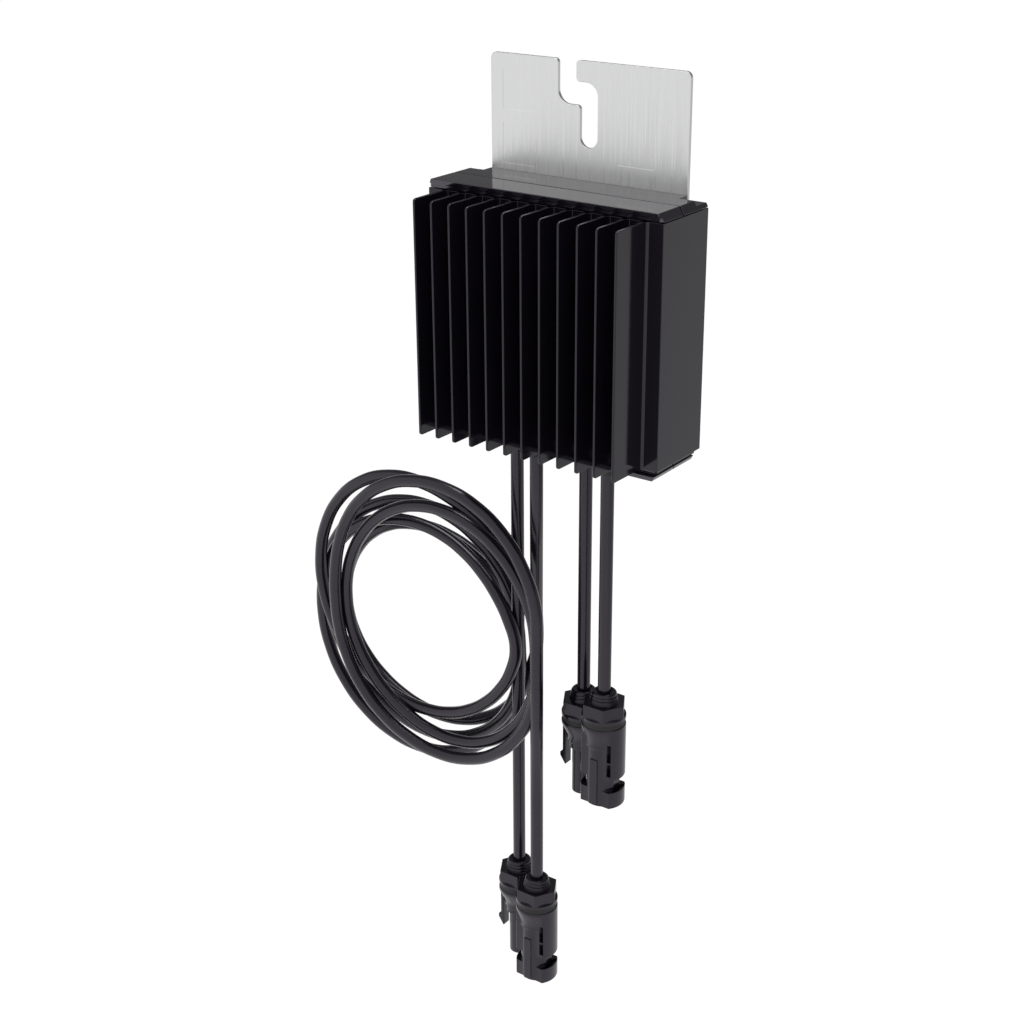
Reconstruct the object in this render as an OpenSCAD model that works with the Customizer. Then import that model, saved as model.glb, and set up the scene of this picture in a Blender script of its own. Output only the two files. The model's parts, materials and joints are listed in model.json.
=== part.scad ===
// Power optimizer: finned heat sink, two half shells, slotted bracket and four leads.
// Millimetres. X to the right, the fins face -Y, Z up.
// The origin is the bolt axis in the bracket's slot, on the bracket's rear face.

/* [Housing] */
// Width over the two side walls
body_w = 129; // [115:1:150]
// Length of the extruded heat sink
body_l = 115; // [105:1:140]
// Depth from the mounting plane to the heat sink's base face
body_d = 38.5; // [36:0.5:46]
// Thickness of a side wall
side_t = 1.5; // [1:0.1:2]
// Thickness of the heat sink's base
base_t = 3; // [2.5:0.1:4]
// Number of fins
fin_count = 12; // [6:1:12]
// Distance from fin to fin
fin_pitch = 10; // [7:0.1:10.2]
// Height of a fin above the base
fin_h = 23.5; // [10:0.5:30]
// Thickness of a fin at its tip
fin_tip = 1.2; // [0.8:0.1:1.6]
// Thickness of a fin at its root
fin_root = 2; // [1.6:0.1:3]
// Fillet between a fin and the base
root_fillet = 1; // [0.4:0.1:1.5]
// Radius of a fin's front corners
fin_round = 2; // [1:0.1:4]

/* [Caps and shells] */
// Height of each end cap beyond the heat sink
cap_h = 4.5; // [4:0.1:6]
// Thickness of the cap's overhanging lip
lip_t = 2.3; // [1.5:0.1:2.6]
// Overhang of the lip in front of the base face
lip_over = 1.2; // [0.6:0.1:2]
// Inward slope of the cap's sides
bevel = 2.1; // [1:0.1:3]
// Radius of the cap's front corners
cap_round = 3; // [2:0.1:4]
// Setback of the bottom cap's neck
neck_in = 2; // [1:0.1:2.5]
// Setback of the bottom cap's rear corners
foot_cut = 4; // [1:0.5:8]
// Shadow gap between cap and heat sink
cap_gap = 0.4; // [0.2:0.1:0.8]
// Wall of the half shells
shell_t = 2; // [1.5:0.1:2.2]
// End wall of the half shells
end_wall = 3; // [2.5:0.1:4]
// Depth of the seam from the mounting plane
seam_d = 21.5; // [21:0.1:22]
// Thickness of the seal in the seam
seal_t = 0.8; // [0.6:0.1:1]
// Setback of the seal from the outer face
seal_in = 0.6; // [0.3:0.1:1]
// Setback of the cap beside the bracket
corner_cut = 9; // [6:0.5:12]
// Drop of the ledge beside the bracket
ledge_drop = 2.2; // [1:0.1:2.5]

/* [Bracket] */
// Setback of the bracket from each side of the housing
bracket_in = 10; // [8.5:0.5:19.5]
// Rise of the bracket above the cap
bracket_rise = 54.5; // [50:0.5:70]
// Reach of the bracket down the back
bracket_drop = 60; // [45:1:80]
// Thickness of the plate
plate_t = 2; // [1.5:0.1:3]
// Radius of the plate's corners
plate_round = 3; // [1:0.5:6]
// Width of the lower slot that holds the bolt
slot_w = 9.6; // [8:0.1:10.5]
// Width of the entry slot
entry_w = 10; // [8:0.1:10.5]
// Sideways step from the lower slot to the entry slot
entry_step = 12.1; // [11:0.1:16]
// Height of the bolt axis above the cap
slot_rise = 20; // [15:0.5:22]
// Distance of the bolt axis from the middle of the bracket
slot_offset = 1; // [0:0.5:6]
// Lower edge of the crossover above the bolt axis
cross_low = 14.3; // [12:0.1:16]
// Upper edge of the crossover above the bolt axis
cross_high = 24.9; // [24:0.1:28]
// Radius of the slot's wide bends
slot_bend = 6.5; // [4:0.1:8]
// Radius of the slot's outer corners
slot_round = 2; // [1:0.1:2.4]

/* [Electronics] */
// Width of the circuit board
board_w = 104; // [90:1:104]
// Length of the circuit board
board_l = 96; // [90:1:98]
// Thickness of the circuit board
board_t = 1.6; // [1.2:0.1:2]
// Height of a power transistor above the board
transistor_h = 4.5; // [3:0.1:5]
// Thickness of the thermal pad
pad_t = 2.5; // [2.1:0.1:4]
// Width of an inductor
coil_core_w = 30; // [26:1:32]
// Depth of an inductor's winding
winding_d = 17; // [14:0.5:18]
// Radius of a capacitor
capacitor_r = 6.5; // [5:0.5:7]
// Height of a capacitor above the board
capacitor_h = 18; // [12:0.5:19]

/* [Leads] */
// Diameter of a cable
cable_d = 6.7; // [5.5:0.1:7]
// Sideways distance from cable to cable
cable_pitch = 20.6; // [20:0.1:24]
// Depth of the rear row of cables from the mounting plane
rear_row_d = 15.2; // [13:0.1:15.4]
// Depth of the front row of cables from the mounting plane
front_row_d = 27.8; // [27.7:0.1:29]
// Wall of a cable grommet
grommet_t = 1.5; // [1:0.1:1.6]
// Drop from the cap top to the left short lead's connector
input_left_drop = 257.5; // [200:0.5:300]
// Drop from the cap top to the right short lead's connector
input_right_drop = 247; // [200:0.5:300]
// Drop from the cap top to the plain long lead's connector
plain_drop = 376; // [360:0.5:420]
// Drop from the cap top to the coiled lead's connector
coiled_drop = 373; // [360:0.5:420]
// Outer radius of the coil
coil_r = 81; // [70:0.5:81]
// Radius of the coil's open middle
coil_hole_r = 50; // [40:0.5:52]
// Depth of the coil from front to back
coil_d = 12; // [10:0.5:12]

/* [Connectors] */
// Hexagon of the gland nut across flats
nut_af = 20.2; // [17:0.1:20.8]
// Height of the nut's hexagon
nut_h = 7; // [5:0.1:9]
// Height of the nut's domed collar
collar_h = 5.5; // [4.5:0.1:7]
// Radius of the nut's flange and of the body's shoulder
flange_r = 11.3; // [10.8:0.1:11.6]
// Height of the nut's flange
flange_h = 2; // [1.5:0.1:3]
// Height of the sealing ring
ring_h = 2.8; // [1:0.1:3.5]
// Wall of the cable seal
cable_seal_t = 1; // [0.6:0.1:1.4]
// Radius of the threaded neck
neck_r = 7; // [6.6:0.1:7.2]
// Radius of a connector's body
plug_r = 8.6; // [8.2:0.1:9]
// Length of a socket body below the sealing ring
socket_l = 45; // [44:0.5:52]
// Length of a pin body below the sealing ring
pin_l = 42.5; // [40:0.5:48]
// Reach of the wings and latches from the axis
wing_r = 11.3; // [11:0.1:11.6]

/* [Hidden] */
$fn = 48;
// Clearances
fit = 0.1;
shell_clear = 0.2;
bracket_clear = 0.2;
far = 200;

// Levels, with Y = 0 on the mounting plane and Z = 0 on the cap top
sink_top = -cap_h;
sink_bottom = sink_top - body_l;
foot = sink_bottom - cap_h;
base_front = -body_d;
base_back = base_front + base_t;
plate_front = -plate_t;
seam_y = -seam_d;
seam_front = seam_y - seal_t / 2;
seam_back = seam_y + seal_t / 2;

// Half shells
shell_w = body_w - 2 * side_t - 2 * shell_clear;
cavity_w = shell_w - 2 * shell_t;
wall_inset = ledge_drop + shell_clear;
cavity_top = -end_wall;
cavity_bottom = foot + end_wall;
cavity_front = base_back + shell_t;
cavity_back = plate_front - shell_t;
corner_margin = 0.5;
post_r = 3.8;
post_sunk = 0.8;
post_x = cavity_w / 2 - post_r + post_sunk;
post_in = 6;
post_z = [cavity_top - post_in, cavity_bottom + post_in];
screw_r = 1.6;
head_r = 2.8;

// Circuit board and what it carries
pad_back = base_back + pad_t;
board_front = pad_back + transistor_h;
board_back = board_front + board_t;
board_drop = 8;
board_top = cavity_top - board_drop;
board_bottom = board_top - board_l;
board_post_r = 3.2;
board_hole_in = 4;
board_hole_x = board_w / 2 - board_hole_in;
board_hole_z = [board_top - board_hole_in, board_bottom + board_hole_in];
board_screw_r = 1.4;
board_head_h = 1.8;
pad_size = [90, 20];
pad_drop = 32;
pad_z = board_top - pad_drop;
transistor_size = [10, 15];
transistor_in = 9;
transistor_pitch = (pad_size[0] - 2 * transistor_in) / 3;
transistor_x = [for (k = [0 : 3]) (k - 1.5) * transistor_pitch];
core_d = 12;
core_l = 26;
core_leg = 10;
core_window = [6, 16];
inductor_x = [-26, 26];
inductor_drop = 62;
inductor_z = board_top - inductor_drop;
capacitor_x = [-39, -24, 24, 39];
capacitor_drop = 22;
capacitor_z = board_top - capacitor_drop;
transformer_size = [16, 12, 14];
chip_size = [12, 1.6, 12];
terminal_w = 8;
terminal_l = 8;
terminal_z = board_bottom - terminal_l;
tab_t = 3;
tab_l = 6;

// Bracket fastenings
bracket_w = body_w - 2 * bracket_in;
bracket_hole_in = 14.5;
bracket_hole_top = 21;
bracket_hole_low = 10;
bracket_hole_x = bracket_w / 2 - bracket_hole_in;
bracket_hole_z = [-bracket_hole_top, bracket_hole_low - bracket_drop];
bracket_head_r = 3.2;
bracket_boss_r = 3.5;
bracket_boss_l = 8;

// Leads
cable_r = cable_d / 2;
grommet_r = cable_r + grommet_t;
grommet_rim = 1.5;
grommet_flare = 0.8;
grommet_reach = 6;
cable_x = [for (k = [0 : 3]) (k - 1.5) * cable_pitch];
cable_y = [-rear_row_d, -front_row_d, -rear_row_d, -front_row_d];
OUTPUT_PLAIN = 0;
OUTPUT_COILED = 1;
INPUT_LEFT = 2;
INPUT_RIGHT = 3;
cable_sides = 12;
ring_step = 20;
crimp_z = -26;
plug_top = [-plain_drop, -coiled_drop, -input_left_drop, -input_right_drop];
coil_right = -18.5;
coil_center = [coil_right - coil_r, -5.6, -253];
coil_hole_shift = 3;
coil_front = coil_center[1] - coil_d / 2;
// The coiled lead leaves its straight run for the coil's rim, and comes back from the coil's front
upper_leave_z = -142;
upper_bend = [[-11.4, -26.3, -156], [-14.5, -21.8, -173], [-19.1, -15.3, -191.5], [-22.3, -10.2, -206]];
upper_turn = 25;
upper_gate = coil_center + coil_r * [cos(upper_turn), 0, sin(upper_turn)];
lower_in = 4;
lower_turn = 13;
lower_gate = [0, -coil_d / 2, 0] + coil_center + (coil_r - lower_in) * [cos(lower_turn), 0, sin(lower_turn)];
lower_bend = [[-22.4, -14.6, -239.5], [-17.5, -18.8, -246.5], [-12.8, -24.4, -254]];
lower_join_z = -265;

// Connectors, measured down from the top of the nut's collar
nut_top = -collar_h;
nut_bottom = nut_top - nut_h;
flange_bottom = nut_bottom - flange_h;
shoulder = flange_bottom - ring_h;
socket_end = shoulder - socket_l;
pin_end = shoulder - pin_l;
gland_r = cable_r + cable_seal_t;
nut_lid = 1;
shelf_top = -36;
shelf_t = 1.5;
latch_t = 2;
latch_gap = 0.6;
latch_end = -44.5;
slot_depth = 2;
ring_in = 0.4;
cone_l = 7;
belt_l = 3;
belt_rise = 0.6;
wing_l = 29;
wing_t = 15;
catch_drop = 36;
pocket_w = 9;
window_w = 1.8;
upper_window = [18.5, 10];
lower_window = [26.5, 7];
socket_mouth_r = 5.9;
pin_mouth_r = 4.6;
pin_barrel_r = 7.4;
nose_r = 5.6;
nose_drop = 16;
nose_window = [8, 6.6];
nose_mark = [19, 8];
strip_l = 26;
strip_w = 4.4;
strip_rise = 0.7;

// Helpers

// From the housing's own levels to the bolt axis
module in_frame() {
    translate([-slot_offset, 0, -slot_rise]) children();
}

// A flat outline in X and Z, given thickness from y_front to y_back
module upright(y_front, y_back) {
    translate([0, y_back, 0]) rotate([90, 0, 0]) linear_extrude(y_back - y_front) children();
}

// A round bar along Y
module bar(x, z, y_front, y_back, r) {
    translate([x, y_front, z]) rotate([-90, 0, 0]) cylinder(r = r, h = y_back - y_front);
}

// The piece between a square corner at the origin and its inscribed arc
module corner_piece(r, sx, sy) {
    difference() {
        translate([sx < 0 ? -r : -0.01, sy < 0 ? -r : -0.01]) square(r + 0.01);
        translate([sx * r, sy * r]) circle(r);
    }
}

// A ring-shaped solid along Z from z_low to z_high
module sleeve(z_low, z_high, r_in, r_out) {
    translate([0, 0, z_low]) difference() {
        cylinder(r = r_out, h = z_high - z_low);
        translate([0, 0, -1]) cylinder(r = r_in, h = z_high - z_low + 2);
    }
}

// Heat sink

module fin_outline() {
    tip_r = fin_tip / 2;
    polygon([
        [-fin_root / 2 - root_fillet, 0], [-fin_root / 2, -root_fillet],
        [-tip_r, tip_r - fin_h], [tip_r, tip_r - fin_h],
        [fin_root / 2, -root_fillet], [fin_root / 2 + root_fillet, 0], [0, base_t / 2]
    ]);
    translate([0, tip_r - fin_h]) circle(tip_r);
}

module sink_outline() {
    difference() {
        translate([-body_w / 2, base_front]) square([body_w, body_d]);
        translate([side_t - body_w / 2, base_back]) square([body_w - 2 * side_t, body_d]);
    }
    for (i = [0 : fin_count - 1])
        translate([(i - (fin_count - 1) / 2) * fin_pitch, base_front]) fin_outline();
}

module heat_sink() {
    color([0.06, 0.06, 0.07]) in_frame() difference() {
        translate([0, 0, sink_bottom]) linear_extrude(body_l) sink_outline();
        // rounded front corners of the fins
        translate([-far / 2, base_front - fin_h, sink_top]) rotate([90, 0, 90]) linear_extrude(far)
            corner_piece(fin_round, 1, -1);
        translate([-far / 2, base_front - fin_h, sink_bottom]) rotate([90, 0, 90]) linear_extrude(far)
            corner_piece(fin_round, 1, 1);
        // threaded holes for the shell screws
        for (x = [-post_x, post_x], z = post_z) bar(x, z, base_front + 0.8, base_back + 1, screw_r);
    }
}

// Half shells

// Front view of a cap: sloped sides, zero at the outer face
module cap_front(depth) {
    run = cap_h - cap_gap;
    x_top = body_w / 2 - bevel;
    x_low = x_top + bevel * depth / run;
    polygon([[-x_low, -depth], [-x_top, 0], [x_top, 0], [x_low, -depth]]);
}

// Plan of a cap from y_front to y_back with round front corners, a little wider than its slopes
module cap_plan(y_front, y_back) {
    half = body_w / 2 + corner_margin;
    difference() {
        translate([-half, y_front]) square([2 * half, y_back - y_front]);
        for (sx = [-1, 1]) translate([sx * half, y_front]) corner_piece(cap_round, -sx, 1);
    }
}

// A cap's solid, growing downwards from Z = 0: a lip that overhangs and a neck behind it
module cap(y_back, neck_front, neck_half) {
    intersection() {
        upright(-far, y_back + 1) cap_front(cap_h - cap_gap);
        union() {
            translate([0, 0, -lip_t]) linear_extrude(lip_t + 1) cap_plan(base_front - lip_over, y_back);
            translate([0, 0, -cap_h]) linear_extrude(cap_h) intersection() {
                cap_plan(neck_front, y_back);
                square([2 * neck_half, far], center = true);
            }
        }
    }
}

module caps(y_back) {
    cap(y_back, base_front, body_w);
    translate([0, 0, foot]) mirror([0, 0, 1]) cap(y_back, base_front + neck_in, shell_w / 2 - corner_margin);
}

// The block between the caps, inside the heat sink
module shell_walls(y_front, y_back) {
    translate([-shell_w / 2, y_front, foot + wall_inset])
        cube([shell_w, y_back - y_front, -foot - 2 * wall_inset]);
}

module grommet_holes() {
    for (i = [0 : 3]) translate([cable_x[i], cable_y[i], foot - 1]) cylinder(r = grommet_r + fit, h = end_wall + 2);
}

module front_shell() {
    color([0.05, 0.05, 0.055]) in_frame() difference() {
        union() {
            shell_walls(base_back, seam_front);
            caps(seam_front);
        }
        difference() {
            translate([-cavity_w / 2, cavity_front, cavity_bottom])
                cube([cavity_w, body_d, cavity_top - cavity_bottom]);
            for (x = [-post_x, post_x], z = post_z) bar(x, z, cavity_front - 1, seam_front, post_r);
        }
        // window for the thermal pad
        translate([-pad_size[0] / 2 - fit, base_back - 1, pad_z - pad_size[1] / 2 - fit])
            cube([pad_size[0] + 2 * fit, shell_t + 2, pad_size[1] + 2 * fit]);
        for (x = [-post_x, post_x], z = post_z) bar(x, z, base_back - 1, seam_front + 1, screw_r + fit);
        grommet_holes();
    }
}

// The bracket stands in the rear cap's recess, with a low ledge at each side of it and cut corners below
module rear_cap_cuts() {
    ledge_x = bracket_w / 2 + bracket_clear;
    translate([-ledge_x, plate_front - bracket_clear, -far]) cube([2 * ledge_x, far, 2 * far]);
    for (side = [0, 1]) mirror([side, 0, 0]) {
        translate([ledge_x, -corner_cut, -ledge_drop]) cube(far);
        translate([ledge_x, -foot_cut, sink_bottom - far]) cube(far);
    }
}

module rear_shell() {
    color([0.05, 0.05, 0.055]) in_frame() difference() {
        union() {
            shell_walls(seam_back, plate_front);
            difference() {
                intersection() {
                    caps(-bracket_clear);
                    translate([-far, seam_back, -far]) cube([2 * far, far, 2 * far]);
                }
                rear_cap_cuts();
            }
        }
        difference() {
            translate([-cavity_w / 2, -body_d, cavity_bottom])
                cube([cavity_w, body_d + cavity_back, cavity_top - cavity_bottom]);
            for (x = [-post_x, post_x], z = post_z) bar(x, z, seam_back, cavity_back + 1, post_r);
            for (x = [-board_hole_x, board_hole_x], z = board_hole_z)
                bar(x, z, seam_back, cavity_back + 1, board_post_r);
            for (x = [-bracket_hole_x, bracket_hole_x], z = bracket_hole_z)
                bar(x, z, cavity_back - bracket_boss_l, cavity_back + 1, bracket_boss_r);
        }
        for (x = [-post_x, post_x], z = post_z) {
            bar(x, z, seam_back - 1, plate_front + 1, screw_r + fit);
            bar(x, z, cavity_back, plate_front + 1, head_r + fit);
        }
        for (x = [-board_hole_x, board_hole_x], z = board_hole_z)
            bar(x, z, seam_back - 1, cavity_back - 1, board_screw_r);
        for (x = [-bracket_hole_x, bracket_hole_x], z = bracket_hole_z)
            bar(x, z, cavity_back - bracket_boss_l + 1, plate_front + 1, screw_r);
        grommet_holes();
    }
}

module shell_seal() {
    outer = [shell_w - 2 * seal_in, -foot - 2 * seal_in];
    color([0.02, 0.02, 0.02]) in_frame() upright(seam_front, seam_back) difference() {
        translate([-outer[0] / 2, foot + seal_in]) square(outer);
        translate([-cavity_w / 2, cavity_bottom]) square([cavity_w, cavity_top - cavity_bottom]);
    }
}

module shell_screws() {
    color([0.6, 0.6, 0.62]) in_frame() for (x = [-post_x, post_x], z = post_z) difference() {
        union() {
            bar(x, z, base_front + 0.8 + fit, cavity_back + 0.5, screw_r);
            bar(x, z, cavity_back, plate_front, head_r);
        }
        translate([x, plate_front, z]) rotate([-90, 0, 0]) cylinder(r = 1.3, h = 2.4, center = true, $fn = 6);
    }
}

// Bracket

// The open J-shaped slot, with the bolt axis at the origin
module slot_outline() {
    top = bracket_rise - slot_rise;
    left = -entry_step - entry_w / 2;
    right = slot_w / 2;
    tab = left + entry_w;
    difference() {
        union() {
            circle(slot_w / 2);
            translate([-right, 0]) square([slot_w, cross_high]);
            translate([left, cross_low]) square([right - left, cross_high - cross_low]);
            translate([left, cross_low]) square([entry_w, top - cross_low + 1]);
            translate([-right, cross_low]) corner_piece(slot_round, -1, -1);
            translate([tab, cross_high]) corner_piece(slot_round, 1, 1);
            translate([left, top]) corner_piece(slot_round, -1, -1);
            translate([tab, top]) corner_piece(slot_round, 1, -1);
        }
        translate([left, cross_low]) corner_piece(slot_bend, 1, 1);
        translate([right, cross_high]) corner_piece(slot_bend, -1, -1);
    }
}

module bracket_outline() {
    h = bracket_rise + bracket_drop;
    difference() {
        translate([-bracket_w / 2, -bracket_drop]) square([bracket_w, h]);
        for (sx = [-1, 1], top = [0, 1])
            translate([sx * bracket_w / 2, top ? bracket_rise : -bracket_drop])
                corner_piece(plate_round, -sx, top ? -1 : 1);
        translate([slot_offset, slot_rise]) slot_outline();
    }
}

module bracket_screw(x, z) {
    sink = bracket_head_r - screw_r;
    bar(x, z, cavity_back - bracket_boss_l + 2, plate_front + 0.01, screw_r);
    translate([x, 0, z]) rotate([90, 0, 0]) {
        cylinder(r1 = bracket_head_r, r2 = screw_r, h = sink);
        cylinder(r = screw_r, h = plate_t);
    }
}

module mounting_bracket() {
    color([0.78, 0.79, 0.8]) in_frame() difference() {
        upright(plate_front, 0) bracket_outline();
        for (x = [-bracket_hole_x, bracket_hole_x], z = bracket_hole_z) {
            bar(x, z, plate_front - 1, 1, screw_r + fit);
            translate([x, 0, z]) rotate([90, 0, 0])
                cylinder(r1 = bracket_head_r, r2 = screw_r, h = bracket_head_r - screw_r);
        }
    }
}

module bracket_screws() {
    color([0.6, 0.6, 0.62]) in_frame() for (x = [-bracket_hole_x, bracket_hole_x], z = bracket_hole_z)
        difference() {
            bracket_screw(x, z);
            translate([x, 0, z]) rotate([90, 0, 0]) cylinder(r = 1.2, h = 2, center = true, $fn = 6);
        }
}

// Electronics

module circuit_board() {
    color([0.05, 0.25, 0.12]) in_frame() difference() {
        translate([-board_w / 2, board_front, board_bottom]) cube([board_w, board_t, board_l]);
        for (x = [-board_hole_x, board_hole_x], z = board_hole_z)
            bar(x, z, board_front - 1, board_back + 1, board_screw_r + fit);
    }
}

// The board's screws carry it on the rear shell's posts, over a plain spacer
module board_screws() {
    color([0.6, 0.6, 0.62]) in_frame() for (x = [-board_hole_x, board_hole_x], z = board_hole_z) {
        bar(x, z, board_front - board_head_h, board_front, head_r);
        bar(x, z, board_front - 0.01, cavity_back - 2, board_screw_r);
        bar(x, z, board_back, seam_back, board_post_r - 0.4);
    }
}

module thermal_pad() {
    color([0.7, 0.72, 0.78]) in_frame()
        translate([-pad_size[0] / 2, base_back, pad_z - pad_size[1] / 2]) cube([pad_size[0], pad_t, pad_size[1]]);
}

module power_transistor(i) {
    color([0.08, 0.08, 0.08]) in_frame()
        translate([transistor_x[i] - transistor_size[0] / 2, pad_back, pad_z - transistor_size[1] / 2])
            cube([transistor_size[0], transistor_h, transistor_size[1]]);
}

module inductor_core(i) {
    color([0.2, 0.2, 0.22]) in_frame()
        translate([inductor_x[i], 0, inductor_z])
            upright(board_back + (winding_d - core_d) / 2, board_back + (winding_d + core_d) / 2) difference() {
                square([coil_core_w, core_l], center = true);
                for (sx = [-1, 1]) translate([sx * (core_leg + core_window[0]) / 2, 0]) square(core_window, center = true);
            }
}

module inductor_winding(i) {
    width = core_leg + 2 * core_window[0] - 2 * fit;
    color([0.7, 0.36, 0.15]) in_frame()
        translate([inductor_x[i], board_back + winding_d / 2, inductor_z]) difference() {
            cube([width, winding_d, core_window[1] - 2 * fit], center = true);
            cube([core_leg, core_d, far], center = true);
        }
}

module capacitor(i) {
    color([0.12, 0.12, 0.2]) in_frame()
        bar(capacitor_x[i], capacitor_z, board_back, board_back + capacitor_h, capacitor_r);
}

module line_transformer() {
    color([0.15, 0.15, 0.1]) in_frame()
        translate([-transformer_size[0] / 2, board_back, capacitor_z - transformer_size[2] / 2]) cube(transformer_size);
}

module controller_chip() {
    color([0.05, 0.05, 0.05]) in_frame()
        translate([-chip_size[0] / 2, board_front - chip_size[1], inductor_z - chip_size[2] / 2]) cube(chip_size);
}

// A clamp on the cable's end, below the board, with a tab soldered to the board's back
module terminal(i) {
    front = min(board_back, cable_y[i] - terminal_w / 2);
    back = max(board_back + tab_t, cable_y[i] + terminal_w / 2);
    color([0.75, 0.6, 0.25]) in_frame() translate([cable_x[i] - terminal_w / 2, 0, terminal_z]) {
        translate([0, front, 0]) cube([terminal_w, back - front, terminal_l]);
        translate([0, board_back, 0]) cube([terminal_w, tab_t, terminal_l + tab_l]);
    }
}

// Leads

module grommet(i) {
    color([0.03, 0.03, 0.03]) in_frame() translate([cable_x[i], cable_y[i], 0]) {
        sleeve(foot - grommet_reach, cavity_bottom + grommet_rim, cable_r + fit / 2, grommet_r);
        sleeve(cavity_bottom, cavity_bottom + grommet_rim, cable_r + fit / 2, grommet_r + grommet_flare);
        sleeve(foot - grommet_rim, foot, cable_r + fit / 2, grommet_r + grommet_flare);
    }
}

// A tube along hand-chosen points, with its first and last direction given
function unit(v) = v / norm(v);
function tangent(p, i, first, last) =
    i == 0 ? first : i == len(p) - 1 ? last : unit(unit(p[i + 1] - p[i]) + unit(p[i] - p[i - 1]));
function tube_ring(c, t, r) =
    let (u = unit(cross(t, [1, 0, 0])), v = cross(t, u))
    [for (k = [0 : cable_sides - 1]) c + r * (u * cos(360 * k / cable_sides) + v * sin(360 * k / cable_sides))];
function straight(from, to) =
    let (n = max(1, ceil(norm(to - from) / ring_step)))
    [for (k = [0 : n]) from + (to - from) * k / n];

module tube(points, first, last) {
    n = cable_sides;
    count = len(points);
    rings = [for (i = [0 : count - 1]) tube_ring(points[i], tangent(points, i, first, last), cable_r)];
    skin = [for (i = [0 : count - 2], k = [0 : n - 1])
        [i * n + k, i * n + (k + 1) % n, (i + 1) * n + (k + 1) % n, (i + 1) * n + k]];
    polyhedron(
        points = [for (ring = rings) each ring],
        faces = concat([[for (k = [n - 1 : -1 : 0]) k]], skin, [[for (k = [0 : n - 1]) (count - 1) * n + k]])
    );
}

down = [0, 0, -1];
function lead_point(i, z) = [cable_x[i], cable_y[i], z];
function lead_start(i) = lead_point(i, terminal_z);
function lead_end(i) = lead_point(i, plug_top[i] + crimp_z);

module plain_lead(i) {
    color([0.05, 0.05, 0.055]) in_frame() tube(straight(lead_start(i), lead_end(i)), down, down);
}

module output_coil_upper() {
    i = OUTPUT_COILED;
    run = straight(lead_start(i), lead_point(i, upper_leave_z));
    color([0.05, 0.05, 0.055]) in_frame()
        tube(concat(run, upper_bend, [upper_gate]), down, [-cos(upper_turn), 0, -sin(upper_turn)]);
}

module output_coil_lower() {
    i = OUTPUT_COILED;
    run = straight(lead_point(i, lower_join_z), lead_end(i));
    color([0.05, 0.05, 0.055]) in_frame()
        tube(concat([lower_gate], lower_bend, run), [0, -1, 0], down);
}

// The coil's turns as one closed ring
module output_coil() {
    color([0.05, 0.05, 0.055]) in_frame()
        translate([coil_center[0], 0, coil_center[2]])
            upright(coil_front, coil_front + coil_d) difference() {
                circle(coil_r);
                translate([coil_hole_shift, 0]) circle(coil_hole_r);
            }
}

// Connectors

module at_plug(i) {
    color([0.05, 0.05, 0.055]) in_frame() translate(lead_point(i, plug_top[i])) children();
}

module gland_nut() {
    corner = nut_af / sqrt(3);
    difference() {
        union() {
            rotate_extrude() polygon([
                [gland_r, 0], [gland_r + 1.2, 0], [gland_r + 2, -0.8], [gland_r + 2, -1.6], [gland_r + 1.6, -2],
                [gland_r + 2.4, -2.6], [gland_r + 2.4, -3.4], [gland_r + 2, -3.8], [gland_r + 2.8, -4.4],
                [gland_r + 2.8, nut_top], [gland_r, nut_top]
            ]);
            translate([0, 0, nut_bottom]) cylinder(r = corner, h = nut_h, $fn = 6);
            translate([0, 0, flange_bottom]) cylinder(r = flange_r, h = flange_h);
        }
        translate([0, 0, -far / 2]) cylinder(r = gland_r, h = far);
        translate([0, 0, flange_bottom - 1]) cylinder(r = neck_r + fit, h = nut_top - nut_lid - flange_bottom + 1);
    }
}

module sealing_ring() {
    sleeve(shoulder, flange_bottom, neck_r, flange_r - ring_in);
}

module cable_seal() {
    sleeve(-20, -0.6, cable_r, gland_r);
}

// What the two kinds of body share: neck, shoulder, cone with a narrow belt, and barrel
module plug_barrel(barrel_r, barrel_end) {
    cone_end = shoulder - 2 - cone_l;
    translate([0, 0, shoulder - 0.01]) cylinder(r = neck_r, h = nut_top - nut_lid - fit - shoulder);
    rotate_extrude() polygon([
        [0, shoulder], [flange_r - 0.4, shoulder], [flange_r, shoulder - 0.4], [flange_r, shoulder - 2],
        [barrel_r + belt_rise, cone_end], [barrel_r + belt_rise, cone_end - belt_l],
        [barrel_r, cone_end - belt_l - belt_rise], [barrel_r, barrel_end], [0, barrel_end]
    ]);
}

module plug_bore(mouth_r, plug_end) {
    translate([0, 0, shelf_top]) cylinder(r = gland_r, h = far);
    translate([0, 0, shelf_top - shelf_t - 1]) cylinder(r = 2.8, h = far / 10);
    translate([0, 0, plug_end - 1]) cylinder(r = mouth_r, h = shelf_top - shelf_t - plug_end + 1);
}

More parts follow.
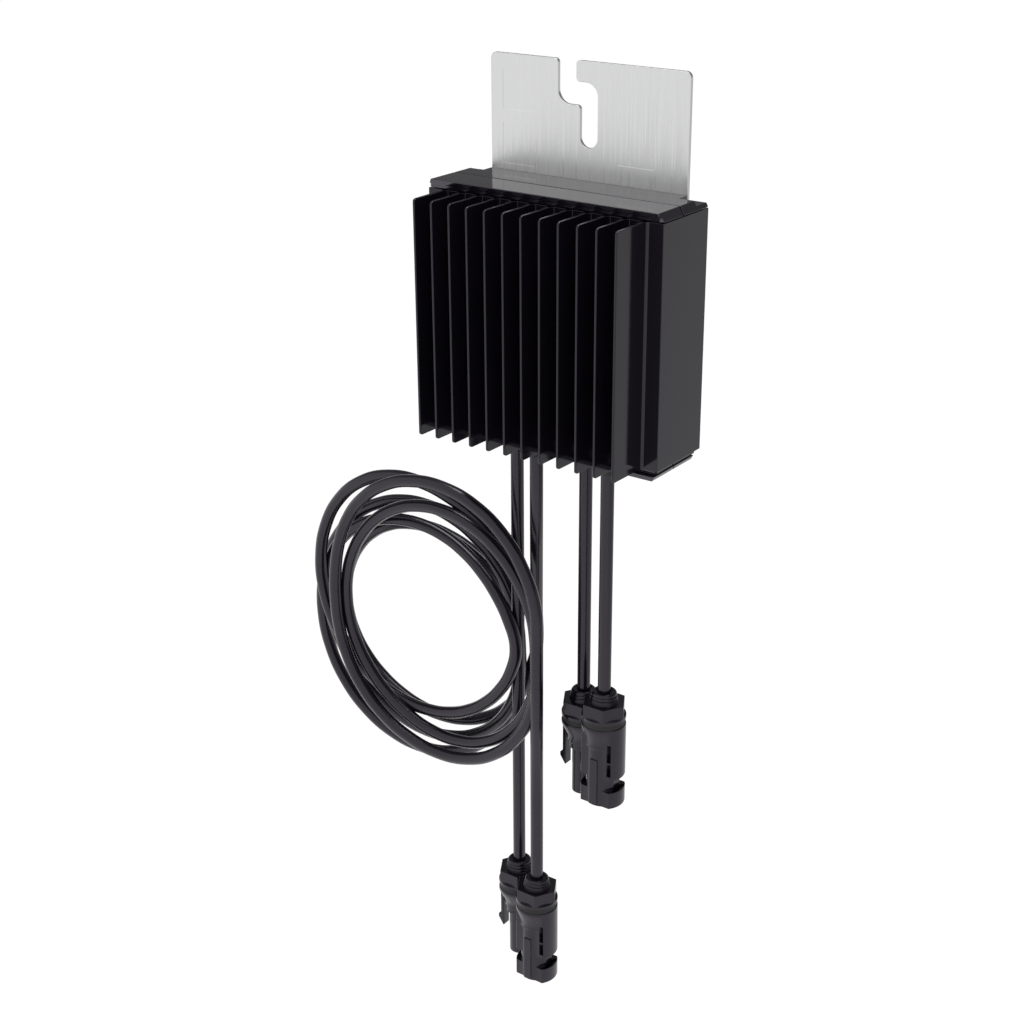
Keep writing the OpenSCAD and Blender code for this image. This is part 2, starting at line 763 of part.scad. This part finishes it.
// Body with guarded wings: windows in its front and a catch at each side
module socket_body() {
    plug_end = socket_end;
    wing_end = shoulder - wing_l;
    catch_top = shoulder - catch_drop;
    difference() {
        union() {
            plug_barrel(plug_r, plug_end);
            intersection() {
                union() {
                    translate([-far / 2, -wing_t / 2, wing_end]) cube([far, wing_t, shoulder - 2 - wing_end]);
                    translate([-far / 2, -wing_t / 2, plug_end]) cube([far, wing_t, catch_top - plug_end]);
                }
                translate([0, 0, plug_end]) cylinder(r = wing_r, h = socket_l);
            }
            // plain raised strip on the front left
            rotate([0, 0, -90]) translate([plug_r - strip_rise, -strip_w / 2, plug_end + strip_rise])
                cube([2 * strip_rise, strip_w, strip_l]);
        }
        plug_bore(socket_mouth_r, plug_end);
        // windows beside the wing
        for (turn = [-42, 138], window = [upper_window, lower_window]) rotate([0, 0, turn])
            translate([plug_r - slot_depth, -window_w / 2, shoulder - window[0]]) cube([far, window_w, window[1]]);
        // pocket for the latch in each catch
        for (side = [0, 1]) mirror([side, 0, 0])
            translate([plug_r - 0.4, -pocket_w / 2, plug_end - 1]) cube([1.6, pocket_w, catch_drop]);
    }
}

// Body with a slim nose and two spring latches
module pin_body() {
    plug_end = pin_end;
    nose_top = shoulder - nose_drop;
    latch_x = plug_r + latch_gap;
    latch_w = 5;
    difference() {
        union() {
            plug_barrel(pin_barrel_r, nose_top);
            translate([0, 0, plug_end]) cylinder(r = nose_r, h = nose_top + 1 - plug_end);
            for (side = [0, 1]) mirror([side, 0, 0]) {
                translate([latch_x, -latch_w / 2, latch_end]) cube([latch_t, latch_w, shoulder - 4 - latch_end]);
                translate([latch_x - 1.5, -latch_w / 2, shoulder - 5]) cube([latch_t + 1.5, latch_w, 3]);
                // barb of the latch
                translate([0, latch_w / 2, 0]) rotate([90, 0, 0]) linear_extrude(latch_w) polygon([
                    [latch_x, latch_end - 2.5], [latch_x + 0.6, latch_end - 2.5],
                    [latch_x + latch_t + 1.6, latch_end + 2], [latch_x + latch_t + 1.6, latch_end + 4],
                    [latch_x + latch_t - 0.01, latch_end + 4], [latch_x, latch_end + 4]
                ]);
            }
        }
        plug_bore(pin_mouth_r, plug_end);
        // windows in the nose
        for (turn = [-62, 118], window = [nose_window, nose_mark]) rotate([0, 0, turn])
            translate([nose_r - 0.6, -window_w / 2, nose_top - window[0]]) cube([far, window_w, window[1]]);
    }
}

// Crimped contact, seated on the shelf of the body
module contact_root() {
    translate([0, 0, shelf_top]) cylinder(r = gland_r, h = 2);
    translate([0, 0, shelf_top + 1.9]) cylinder(r = cable_r, h = crimp_z - shelf_top - 1.9);
}

module pin_contact() {
    contact_root();
    translate([0, 0, shelf_top - 19]) cylinder(r = 1.5, h = 20);
}

module socket_contact() {
    contact_root();
    difference() {
        translate([0, 0, shelf_top - 17]) cylinder(r = 2.7, h = 18);
        translate([0, 0, shelf_top - 18]) cylinder(r = 1.6, h = 16);
    }
}

module brass() {
    color([0.8, 0.7, 0.45]) children();
}

// Nodes

heat_sink();
front_shell();
rear_shell();
shell_seal();
shell_screws();
mounting_bracket();
bracket_screws();
circuit_board();
board_screws();
thermal_pad();
line_transformer();
controller_chip();
for (i = [0 : 3]) {
    power_transistor(i);
    capacitor(i);
    terminal(i);
    grommet(i);
}
for (i = [0 : 1]) {
    inductor_core(i);
    inductor_winding(i);
}
plain_lead(OUTPUT_PLAIN);  // output_plain_lead
output_coil_upper();
output_coil();
output_coil_lower();
plain_lead(INPUT_LEFT);  // input_left_lead
plain_lead(INPUT_RIGHT);  // input_right_lead

plug_names = ["output_plain", "output_coiled", "input_left", "input_right"];
for (i = [0 : 3]) {
    has_pin = i == OUTPUT_PLAIN || i == INPUT_LEFT;
    at_plug(i) { if (has_pin) pin_body(); else socket_body(); }
    at_plug(i) gland_nut();
    at_plug(i) sealing_ring();
    at_plug(i) cable_seal();
    brass() at_plug(i) { if (has_pin) pin_contact(); else socket_contact(); }
}
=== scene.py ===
# Power optimizer on its bracket: the soft edges, the leads, the finishes, the studio and the camera.
# Metres. X to the right, the fins face -Y, Z up, the origin on the rail bolt's axis.
import json
import math

import bpy
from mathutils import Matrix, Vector
from mathutils.geometry import interpolate_bezier


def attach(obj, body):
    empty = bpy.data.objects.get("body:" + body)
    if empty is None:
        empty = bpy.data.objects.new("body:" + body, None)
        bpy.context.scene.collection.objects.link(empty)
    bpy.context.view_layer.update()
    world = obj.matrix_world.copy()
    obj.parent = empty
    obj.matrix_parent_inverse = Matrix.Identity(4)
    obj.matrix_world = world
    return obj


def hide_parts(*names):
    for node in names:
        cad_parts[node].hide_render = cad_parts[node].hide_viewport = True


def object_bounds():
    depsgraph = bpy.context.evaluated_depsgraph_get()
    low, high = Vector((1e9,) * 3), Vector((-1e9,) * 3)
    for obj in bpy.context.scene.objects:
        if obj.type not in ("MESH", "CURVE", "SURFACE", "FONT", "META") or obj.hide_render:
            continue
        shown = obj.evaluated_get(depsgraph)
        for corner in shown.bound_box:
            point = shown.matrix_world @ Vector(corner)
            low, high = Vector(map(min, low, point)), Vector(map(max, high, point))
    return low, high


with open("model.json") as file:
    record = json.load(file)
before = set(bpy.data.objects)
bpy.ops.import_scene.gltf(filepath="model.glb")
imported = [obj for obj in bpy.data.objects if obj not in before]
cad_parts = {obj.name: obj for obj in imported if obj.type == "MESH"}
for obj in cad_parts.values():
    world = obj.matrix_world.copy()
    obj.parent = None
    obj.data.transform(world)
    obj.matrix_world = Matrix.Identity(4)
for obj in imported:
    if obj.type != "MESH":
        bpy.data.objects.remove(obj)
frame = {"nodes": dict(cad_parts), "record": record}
cad_low, cad_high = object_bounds()
nodes = frame["nodes"]
slot_of = {part["node"]: part["material_slot"] for part in frame["record"]["subparts"]}
MM = 0.001
ROOT = "root"

# Camera at the photograph's angle
CAMERA_AT = Vector((0.44723, -0.67840, 0.15315))
CAMERA_DOWN_DEG = 22.62
CAMERA_TURN_DEG = 35.02
LENS_MM = 61.67
SENSOR_MM = 36.0
SHIFT = (-0.0282, -0.0037)
NEAREST_M = 0.01

# Leads, in millimetres from the middle of the housing, the mounting plane and the cap top
HOUSING = Vector((-1.0, 0.0, -20.0))
CABLE_D = 6.7
CABLE_X = (-30.9, -10.3, 10.3, 30.9)
CABLE_Y = (-15.2, -27.8, -15.2, -27.8)
OUTPUT_PLAIN, OUTPUT_COILED, INPUT_LEFT, INPUT_RIGHT = range(4)
PLUGS = ("output_plain", "output_coiled", "input_left", "input_right")
PLUG_TOP = (-376.0, -373.0, -257.5, -247.0)
TERMINAL_Z = -115.0
CRIMP_Z = -26.0
RUN_STEP = 20.0
KNOT_STEPS = 6
ROUND_STEPS = 6

# Coiled lead: it leaves its straight run for the back of the coil and comes back in front of it
LEAVE_Z, ENTER_Z = -142.0, -236.0
RETURN_Z, HELD_Z, JOIN_Z = -228.0, -262.0, -318.0
STRAIGHT_Z = -330.0
BEND_POINTS = 5

# Turns of the coil in winding order: the mean radius, how much wider the turn starts than it ends,
# then the cosine and sine shares of a swing once, twice, three and four times a turn.
# The radii are those that the photograph shows in the plane COIL_PLANE_Y.
COIL_PLANE_Y = -5.0
COIL_MIDDLE = (-101.0, -253.0)
COIL_RIGHT_X = -26.8
TURNS = (
    (59.3, 10.2, 5.1, 1.5, 3.1, 0.4, 0.3, 0.2, 0.1, 0.3),
    (72.7, 0.4, -5.0, -7.3, -2.7, 2.3, -0.1, 0.1, -0.2, 0.0),
    (64.6, 1.8, -4.1, -7.3, 1.7, -1.7, -0.8, 0.2, 0.3, -0.3),
    (69.9, -13.4, -4.1, 7.9, 1.3, -1.4, 0.8, 0.1, 0.1, 0.3),
    (67.3, -0.1, 10.0, -2.0, -0.9, -0.7, -0.7, -0.2, -0.1, 0.1),
    (77.0, 0.7, 6.2, -1.1, -5.2, 0.3, -0.5, 0.1, -0.6, 0.1),
)
BACK_Y = 0.6
LAYER = 5.9
# Depth of each turn, and of the lead after the last, where they pass behind or before the plain lead
NEAR_Y = (0.6, -4.2, -9.0, -21.6, -26.4, -31.5, -36.6)
NEAR_DEG = (115.0, 55.0)
COIL_START_DEG = -5.0
COIL_END_DEG = 20.0
TURN_STEPS = 24
CHANGE_DEG = 40.0
DEPTH_CHANGE_DEG = 70.0
DEPTH_LEAD_DEG = 55.0


def ease(share):
    """Zero to one with level ends."""
    share = min(1.0, max(0.0, share))
    return share * share * (3.0 - 2.0 * share)


def mix(low, high, share):
    return low * (1.0 - share) + high * share


def only(made):
    """Selects one object and makes it the active one."""
    bpy.ops.object.select_all(action="DESELECT")
    made.select_set(True)
    bpy.context.view_layer.objects.active = made


# Soft edges: copies of the solids whose sharp corners are rounded a little, to catch the light

EDGE_ROUND = {"heat_sink": 0.25, "front_shell": 0.3, "rear_shell": 0.3, "mounting_bracket": 0.3}
for plug in PLUGS:
    EDGE_ROUND[plug + "_connector_body"] = 0.25
    EDGE_ROUND[plug + "_gland_nut"] = 0.25
MERGE_GAP = 0.002
FLAT_DEG = 1.0
SHARP_DEG = 32.0
EDGE_STEPS = 2


LIP_OF = "front_shell"
LIP_BACK_Y, LIP_DEPTH = -38.5, 1.2
LIP_TOP_Z, LIP_LOW_Z = -20.0, -22.4
LIP_LEAN = 0.15


def lean_lip(made):
    """Leans the front of the cap's lip back towards its lower edge."""
    for corner in made.data.vertices:
        x, y, z = corner.co / MM
        if y < LIP_BACK_Y and z > LIP_LOW_Z:
            share = min(1.0, (LIP_BACK_Y - y) / LIP_DEPTH)
            corner.co.y += LIP_LEAN * (LIP_TOP_Z - z) * share * MM


def softened(name, width):
    """A copy of a solid, merged to plain faces, with its sharp edges rounded."""
    made = bpy.data.objects.new("soft_" + name, nodes[name].data.copy())
    bpy.context.scene.collection.objects.link(made)
    only(made)
    bpy.ops.mesh.customdata_custom_splitnormals_clear()
    bpy.ops.object.mode_set(mode="EDIT")
    bpy.ops.mesh.select_all(action="SELECT")
    bpy.ops.mesh.remove_doubles(threshold=MERGE_GAP * MM)
    bpy.ops.mesh.dissolve_limited(angle_limit=math.radians(FLAT_DEG))
    bpy.ops.object.mode_set(mode="OBJECT")
    if name == LIP_OF:
        lean_lip(made)
    bpy.ops.object.shade_smooth()
    edge = made.modifiers.new("soft_edges", "BEVEL")
    edge.width = width * MM
    edge.segments = EDGE_STEPS
    edge.limit_method = "ANGLE"
    edge.angle_limit = math.radians(SHARP_DEG)
    edge.use_clamp_overlap = False
    bpy.ops.object.modifier_apply(modifier=edge.name)
    level = made.modifiers.new("face_normals", "WEIGHTED_NORMAL")
    bpy.ops.object.modifier_apply(modifier=level.name)
    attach(made, ROOT)
    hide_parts(name)
    return made


shown = dict(nodes)
for name, width in EDGE_ROUND.items():
    shown[name] = softened(name, width)


# Leads

def at(point):
    """A point of the leads' own levels, in the part's frame in metres."""
    return (Vector(point) + HOUSING) * MM


def at_depth(point, depth):
    """The point on the same line of sight at another depth."""
    eye = CAMERA_AT / MM - HOUSING
    return eye + (Vector(point) - eye) * ((depth - eye.y) / (point[1] - eye.y))


def straight(lead, top, bottom):
    """Points down a lead's own axis, about one every RUN_STEP."""
    count = max(1, math.ceil((top - bottom) / RUN_STEP))
    return [(CABLE_X[lead], CABLE_Y[lead], mix(top, bottom, k / count)) for k in range(count + 1)]


def bend(top, bottom, first_depth, last_depth):
    """Points that stay in line with the coiled lead's axis while they change depth."""
    axis = CABLE_X[OUTPUT_COILED], CABLE_Y[OUTPUT_COILED]
    points = []
    for k in range(BEND_POINTS):
        share = k / (BEND_POINTS - 1)
        points.append(at_depth((*axis, mix(top, bottom, share)), mix(first_depth, last_depth, ease(share))))
    return points


def turn_radius(index, degrees):
    """Distance of one turn from the coil's middle; a turn starts at 360 degrees and ends at nought."""
    index = min(max(index, 0), len(TURNS) - 1)
    mean, drift, *swings = TURNS[index]
    local = degrees + 360.0 * (index + 1)
    radius = mean + drift * (local / 360.0 - 0.5)
    for times in range(1, len(swings) // 2 + 1):
        angle = math.radians(times * local)
        radius += swings[2 * times - 2] * math.cos(angle) + swings[2 * times - 1] * math.sin(angle)
    return radius


def turn_depth(index, near):
    """Depth of one turn; beside the plain lead the turns leave a gap for it."""
    index = min(max(index, 0), len(NEAR_Y) - 1)
    return mix(BACK_Y - LAYER * index, NEAR_Y[index], near)


def change(done, width):
    """The turns before and after the nearest change, and how far the lead has gone between them."""
    nearest = round(done)
    return nearest - 1, nearest, ease((done - nearest) * 360.0 / width + 0.5)


def coil_points():
    """The turns, wound clockwise seen from the front, from the back to the front."""
    total = 360.0 * len(TURNS) + COIL_START_DEG - COIL_END_DEG
    count = math.ceil(total / 360.0 * TURN_STEPS)
    points = []
    for k in range(count + 1):
        degrees = COIL_START_DEG - total * k / count
        angle = math.radians(degrees)
        before, after, share = change(-degrees / 360.0, CHANGE_DEG)
        radius = mix(turn_radius(before, degrees), turn_radius(after, degrees), share)
        aside = abs((degrees + 180.0) % 360.0 - 180.0)
        near = ease((NEAR_DEG[0] - aside) / (NEAR_DEG[0] - NEAR_DEG[1]))
        before, after, share = change((DEPTH_LEAD_DEG - degrees) / 360.0, DEPTH_CHANGE_DEG)
        depth = mix(turn_depth(before, near), turn_depth(after, near), share)
        x = min(COIL_MIDDLE[0] + radius * math.cos(angle), COIL_RIGHT_X)
        z = COIL_MIDDLE[1] + radius * math.sin(angle)
        points.append(at_depth((x, COIL_PLANE_Y, z), depth))
    return points


def coiled_route():
    lead = OUTPUT_COILED
    front = NEAR_Y[-1]
    out = bend(LEAVE_Z, ENTER_Z, CABLE_Y[lead], NEAR_Y[0])
    held = bend(RETURN_Z, HELD_Z, front, front)
    back = bend(HELD_Z, JOIN_Z, front, CABLE_Y[lead])
    return (straight(lead, TERMINAL_Z, LEAVE_Z)[:-1] + out + coil_points() + held[:-1] + back
            + straight(lead, STRAIGHT_Z, PLUG_TOP[lead] + CRIMP_Z))


def plain_route(lead):
    return straight(lead, TERMINAL_Z, PLUG_TOP[lead] + CRIMP_Z)


def cable(name, points):
    """A round cable along the points on one smooth spline, and its centreline."""
    data = bpy.data.curves.new(name, "CURVE")
    data.dimensions = "3D"
    data.bevel_depth = CABLE_D / 2 * MM
    data.bevel_resolution = ROUND_STEPS
    data.use_fill_caps = True
    data.resolution_u = KNOT_STEPS
    spline = data.splines.new("BEZIER")
    spline.bezier_points.add(len(points) - 1)
    for knot, point in zip(spline.bezier_points, points):
        knot.co = at(point)
        knot.handle_left_type = "AUTO"
        knot.handle_right_type = "AUTO"
    knots = spline.bezier_points
    line = [knots[0].co.copy()]
    for a, b in zip(knots[:-1], knots[1:]):
        line += interpolate_bezier(a.co, a.handle_right, b.handle_left, b.co, KNOT_STEPS + 1)[1:]
    made = bpy.data.objects.new(name, data)
    bpy.context.scene.collection.objects.link(made)
    only(made)
    bpy.ops.object.convert(target="MESH")
    return bpy.context.view_layer.objects.active, line


def lead(index, name, points, length, lay, *solids):
    """A lead in place of its plain solids."""
    made, line = cable(name, points)
    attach(made, ROOT)
    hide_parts(*solids)
    return made


leads = [
    lead(OUTPUT_PLAIN, "plain_output_cable", plain_route(OUTPUT_PLAIN), 0.287, "hanging",
         "output_plain_lead"),
    lead(OUTPUT_COILED, "coiled_output_cable", coiled_route(), 2.897, "coiled",
         "output_coil_upper", "output_coil", "output_coil_lower"),
    lead(INPUT_LEFT, "left_input_cable", plain_route(INPUT_LEFT), 0.1685, "hanging", "input_left_lead"),
    lead(INPUT_RIGHT, "right_input_cable", plain_route(INPUT_RIGHT), 0.158, "hanging", "input_right_lead"),
]


# Finishes

class Shade:
    """A shader socket; Python operators on it add Math nodes."""

    def __init__(self, finish, socket):
        self.finish = finish
        self.socket = socket

    def math(self, operation, first, second):
        return self.finish.node("ShaderNodeMath", {"operation": operation}, {0: first, 1: second})

    def __add__(self, other):
        return self.math("ADD", self, other)

    def __radd__(self, other):
        return self.math("ADD", other, self)

    def __sub__(self, other):
        return self.math("SUBTRACT", self, other)

    def __rsub__(self, other):
        return self.math("SUBTRACT", other, self)

    def __mul__(self, other):
        return self.math("MULTIPLY", self, other)

    def __rmul__(self, other):
        return self.math("MULTIPLY", other, self)

    def __lt__(self, other):
        return self.math("LESS_THAN", self, other)

    def __gt__(self, other):
        return self.math("GREATER_THAN", self, other)


class Nodes:
    """A node tree that is written in plain Python."""

    def __init__(self, tree):
        self.tree = tree

    def node(self, kind, settings=None, inputs=None, output=0):
        made = self.tree.nodes.new(kind)
        for key, value in (settings or {}).items():
            setattr(made, key, value)
        for key, value in (inputs or {}).items():
            self.feed(made.inputs[key], value)
        if output is not None:
            return Shade(self, made.outputs[output])

    def feed(self, socket, value):
        if isinstance(value, Shade):
            self.tree.links.new(value.socket, socket)
        else:
            socket.default_value = value

    def axes(self, place):
        parts = self.node("ShaderNodeSeparateXYZ", inputs={0: place}).socket.node
        return [Shade(self, parts.outputs[k]) for k in range(3)]

    def clamp(self, value):
        return self.node("ShaderNodeClamp", inputs={0: value})


class Finish(Nodes):
    """One material: its nodes and its surface."""

    def __init__(self, name):
        self.material = bpy.data.materials.new(name)
        self.material.use_nodes = True
        super().__init__(self.material.node_tree)
        self.surface = self.tree.nodes["Principled BSDF"]
        self.place = self.node("ShaderNodeTexCoord", output="Object")

    def noise(self, scale, stretch=(1, 1, 1), detail=3.0):
        place = self.node("ShaderNodeMapping", inputs={"Vector": self.place, "Scale": stretch})
        return self.node("ShaderNodeTexNoise", inputs={"Vector": place, "Scale": scale, "Detail": detail})

    def blend(self, share, low, high):
        colours = {0: share, 6: (*low, 1), 7: (*high, 1)}
        return self.node("ShaderNodeMix", {"data_type": "RGBA"}, colours, output=2)

    def bump(self, height, distance):
        relief = {"Strength": 1.0, "Distance": distance, "Height": height}
        return self.node("ShaderNodeBump", inputs=relief)

    def wear(self, **sockets):
        for name, value in sockets.items():
            self.feed(self.surface.inputs[name.replace("_", " ")], value)
        return self.material


BLACK_LOW = (0.0050, 0.0038, 0.0068)
BLACK_HIGH = (0.0085, 0.0064, 0.0110)
PLASTIC_SHEEN = (0.96, 0.92, 1.0, 1)
CABLE_SHEEN = (0.94, 0.88, 1.0, 1)

# How closely a pattern repeats along X, Y and Z, for marks that run along one direction
DIE_LINES = (2600, 2600, 14)
FLOW_MARKS = (1, 1, 0.3)
FINE_BRUSHING = (2600, 2600, 30)
BROAD_BRUSHING = (900, 900, 12)


def sink_black():
    """Black coated extrusion with fine die lines along its length."""
    f = Finish("sink_black")
    lines = f.noise(1.0, DIE_LINES)
    cloud = f.noise(35.0)
    return f.wear(Base_Color=f.blend(cloud, BLACK_LOW, BLACK_HIGH), Roughness=0.07 + lines * 0.08, IOR=1.5,
                  Specular_Tint=PLASTIC_SHEEN, Normal=f.bump(lines, 0.000006))


def shell_black():
    """Smooth moulded plastic with a very fine grain."""
    f = Finish("shell_black")
    grain = f.noise(2400.0, detail=2.0)
    cloud = f.noise(40.0)
    return f.wear(Base_Color=f.blend(cloud, BLACK_LOW, BLACK_HIGH), Roughness=0.06 + grain * 0.06, IOR=1.84,
                  Specular_Tint=PLASTIC_SHEEN, Normal=f.bump(grain, 0.000003))


def cable_black():
    """Smooth cable jacket, a little uneven along its length."""
    f = Finish("cable_black")
    skin = f.noise(900.0, detail=2.0)
    cloud = f.noise(60.0)
    return f.wear(Base_Color=f.blend(cloud, BLACK_LOW, BLACK_HIGH), Roughness=0.16 + skin * 0.12, IOR=1.56,
                  Specular_Tint=CABLE_SHEEN, Normal=f.bump(skin, 0.00001))


def connector_black():
    """Moulded connector plastic with slight flow marks."""
    f = Finish("connector_black")
    grain = f.noise(1800.0, detail=2.0)
    flow = f.noise(110.0, FLOW_MARKS)
    return f.wear(Base_Color=f.blend(flow, BLACK_LOW, BLACK_HIGH), Roughness=0.12 + grain * 0.1 + flow * 0.06,
                  IOR=1.52, Specular_Tint=CABLE_SHEEN, Normal=f.bump(grain, 0.000006))


def rubber(name, low, high):
    """Matte moulded rubber."""
    f = Finish(name)
    grain = f.noise(1500.0)
    return f.wear(Base_Color=f.blend(grain, low, high), Roughness=0.5 + grain * 0.2, IOR=1.5,
                  Normal=f.bump(grain, 0.00001))


MARKS = (
    # left, right, low, high in millimetres, and how much lighter than the sheet
    (-48.65, -48.35, 8.5, 27.0, -0.2),
    (-48.65, -48.35, -15.1, 2.4, -0.2),
    (-45.1, -29.2, 8.55, 8.8, 0.08),
    # the two lines 0.6 lighter than the sheet are painted highlights, brighter than white steel
    (-48.9, -30.1, -17.05, -16.6, 0.6),
    (16.2, 35.5, -11.05, -10.6, 0.6),
)
PLATE_FRONT = -1.9
STEEL_TONE = 0.76
STREAK_TONE = 0.03
STREAK_CONTRAST = 2.6


def bracket_steel():
    """Brushed sheet metal with upright streaks; on its front a few thin darker and lighter lines, the
    brightest of them painted highlights.
    """
    f = Finish("bracket_steel")
    x, y, z = f.axes(f.place)
    fine = f.noise(1.0, FINE_BRUSHING, detail=4.0)
    broad = f.noise(1.0, BROAD_BRUSHING)
    brushed = f.clamp((fine * 0.6 + broad * 0.4 - 0.5) * STREAK_CONTRAST + 0.5)
    tone = STEEL_TONE + (brushed - 0.5) * STREAK_TONE
    for left, right, low, high, lighter in MARKS:
        across = (x > left * MM) * (x < right * MM)
        upright = (z > low * MM) * (z < high * MM)
        tone = tone + across * upright * (y < PLATE_FRONT * MM) * lighter
    base = f.node("ShaderNodeCombineColor", inputs={0: tone, 1: tone * 1.008, 2: tone * 1.004})
    return f.wear(Base_Color=base, Metallic=1.0, Roughness=0.2 + brushed * 0.26,
                  Normal=f.bump(fine, 0.000005))


def metal(name, low, high, roughness):
    """Plain turned or plated metal with fine marks."""
    f = Finish(name)
    marks = f.noise(700.0)
    return f.wear(Base_Color=f.blend(marks, low, high), Metallic=1.0, Roughness=roughness + marks * 0.15)


def speckled(name, low, high, roughness, scale):
    """Plain solid colour with a fine speckle."""
    f = Finish(name)
    speckle = f.noise(scale)
    return f.wear(Base_Color=f.blend(speckle, low, high), Roughness=roughness + speckle * 0.1)


finishes = {
    "sink_black": sink_black(),
    "shell_black": shell_black(),
    "seal_rubber": rubber("seal_rubber", (0.006, 0.006, 0.007), (0.012, 0.012, 0.013)),
    "screw_steel": metal("screw_steel", (0.48, 0.48, 0.5), (0.62, 0.62, 0.64), 0.28),
    "bracket_steel": bracket_steel(),
    "board_green": speckled("board_green", (0.02, 0.11, 0.05), (0.04, 0.17, 0.08), 0.35, 300.0),
    "pad_grey": speckled("pad_grey", (0.4, 0.42, 0.47), (0.5, 0.52, 0.57), 0.7, 500.0),
    "chip_black": speckled("chip_black", (0.02, 0.02, 0.02), (0.035, 0.035, 0.035), 0.55, 900.0),
    "ferrite": speckled("ferrite", (0.07, 0.07, 0.08), (0.12, 0.12, 0.13), 0.6, 700.0),
    "copper": metal("copper", (0.62, 0.28, 0.12), (0.78, 0.38, 0.18), 0.25),
    "capacitor_sleeve": speckled("capacitor_sleeve", (0.02, 0.02, 0.06), (0.035, 0.035, 0.09), 0.25, 400.0),
    "brass": metal("brass", (0.66, 0.53, 0.3), (0.8, 0.66, 0.4), 0.22),
    "cable_black": cable_black(),
    "connector_black": connector_black(),
    "connector_rubber": rubber("connector_rubber", (0.004, 0.004, 0.005), (0.008, 0.008, 0.009)),
}


def dress(made, slot):
    """Gives a piece the finish of a slot of the record."""
    made.data.materials.clear()
    made.data.materials.append(finishes[slot])


for name, slot in slot_of.items():
    dress(nodes[name], slot)
    dress(shown[name], slot)
for made in leads:
    dress(made, "cable_black")


# Studio: a white surround, a pale floor well below the part and one soft lamp overhead

FLOOR_DROP = 0.25
FLOOR_SIZE = 60.0
FLOOR_WHITE = (0.9, 0.9, 0.9, 1)
FLOOR_TOWARDS = (0.6, 0.8)
FLOOR_FALL = (-0.2, 1.2)
SHADOW_SHARE = 0.15
FLOOR_GLOW = 1.11
SKY_GLOW = 1.3
FAR_SIDE = 0.62
SKY_HIGH = 0.21
HORIZON = (-0.05, 0.2)
SKY_BEHIND = (-0.4, 0.2)
LAMP_AT = (-0.2, 0.25, 1.6)
LAMP_SIZE = (1.7, 0.8)
LAMP_WATTS = 17.0


class Stage(Nodes):
    """Nodes of a floor or surround."""

    def ramp(self, value, low, high, at_low, at_high):
        return self.node("ShaderNodeMapRange", {"interpolation_type": "SMOOTHSTEP"},
                         {0: value, 1: low, 2: high, 3: at_low, 4: at_high})

    def to_camera(self, seen, otherwise):
        """One brightness for the camera and another for everything else."""
        rays = self.node("ShaderNodeLightPath", output="Is Camera Ray")
        return self.node("ShaderNodeMix", {"data_type": "FLOAT"}, {0: rays, 2: otherwise, 3: seen})


def pale_floor():
    """White to the camera, with a soft shadow; in mirrors it falls off behind and to the right."""
    material = bpy.data.materials.new("pale_floor")
    material.use_nodes = True
    f = Stage(material.node_tree)
    f.tree.nodes.clear()
    x, y, z = f.axes(f.node("ShaderNodeTexCoord", output="Object"))
    away = x * FLOOR_TOWARDS[0] + y * FLOOR_TOWARDS[1]
    mirrored = f.ramp(away, *FLOOR_FALL, 1.0, FAR_SIDE)
    glow = f.node("ShaderNodeEmission", inputs={"Strength": f.to_camera(FLOOR_GLOW, mirrored)})
    matte = f.node("ShaderNodeBsdfDiffuse", inputs={"Color": FLOOR_WHITE})
    both = f.node("ShaderNodeMixShader", inputs={0: 1.0 - SHADOW_SHARE, 1: matte, 2: glow})
    f.node("ShaderNodeOutputMaterial", inputs={"Surface": both}, output=None)
    return material


def studio_world():
    """White to the camera; to everything else it is dim above the horizon behind the part."""
    world = bpy.data.worlds.new("studio")
    world.use_nodes = True
    f = Stage(world.node_tree)
    f.tree.nodes.clear()
    x, y, height = f.axes(f.node("ShaderNodeTexCoord", output="Generated"))
    above = f.ramp(height, *HORIZON, 0.0, 1.0)
    behind = f.ramp(y, *SKY_BEHIND, 0.0, 1.0)
    sky = 1.0 - above * behind * (1.0 - SKY_HIGH)
    glow = f.node("ShaderNodeBackground", inputs={"Strength": f.to_camera(SKY_GLOW, sky)})
    f.node("ShaderNodeOutputWorld", inputs={"Surface": glow}, output=None)
    return world


bpy.ops.object.select_all(action="DESELECT")
bpy.ops.mesh.primitive_plane_add(size=FLOOR_SIZE, location=(0, 0, cad_low.z - FLOOR_DROP))
floor = bpy.context.active_object
floor.name = "floor"
floor.data.materials.append(pale_floor())
bpy.ops.object.light_add(type="AREA", location=LAMP_AT)
lamp = bpy.context.active_object
lamp.name = "soft_box"
lamp.data.shape = "RECTANGLE"
lamp.data.size, lamp.data.size_y = LAMP_SIZE
lamp.data.energy = LAMP_WATTS
bpy.context.scene.world = studio_world()
bpy.context.scene.view_settings.view_transform = "Standard"

camera_data = bpy.data.cameras.new("camera")
camera = bpy.data.objects.new("camera", camera_data)
bpy.context.scene.collection.objects.link(camera)
camera.location = CAMERA_AT
camera.rotation_euler = (math.radians(90 - CAMERA_DOWN_DEG), 0, math.radians(CAMERA_TURN_DEG))
camera_data.sensor_width = SENSOR_MM
camera_data.lens = LENS_MM
camera_data.shift_x, camera_data.shift_y = SHIFT
camera_data.clip_start = NEAREST_M
bpy.context.scene.camera = camera

bpy.context.view_layer.update()
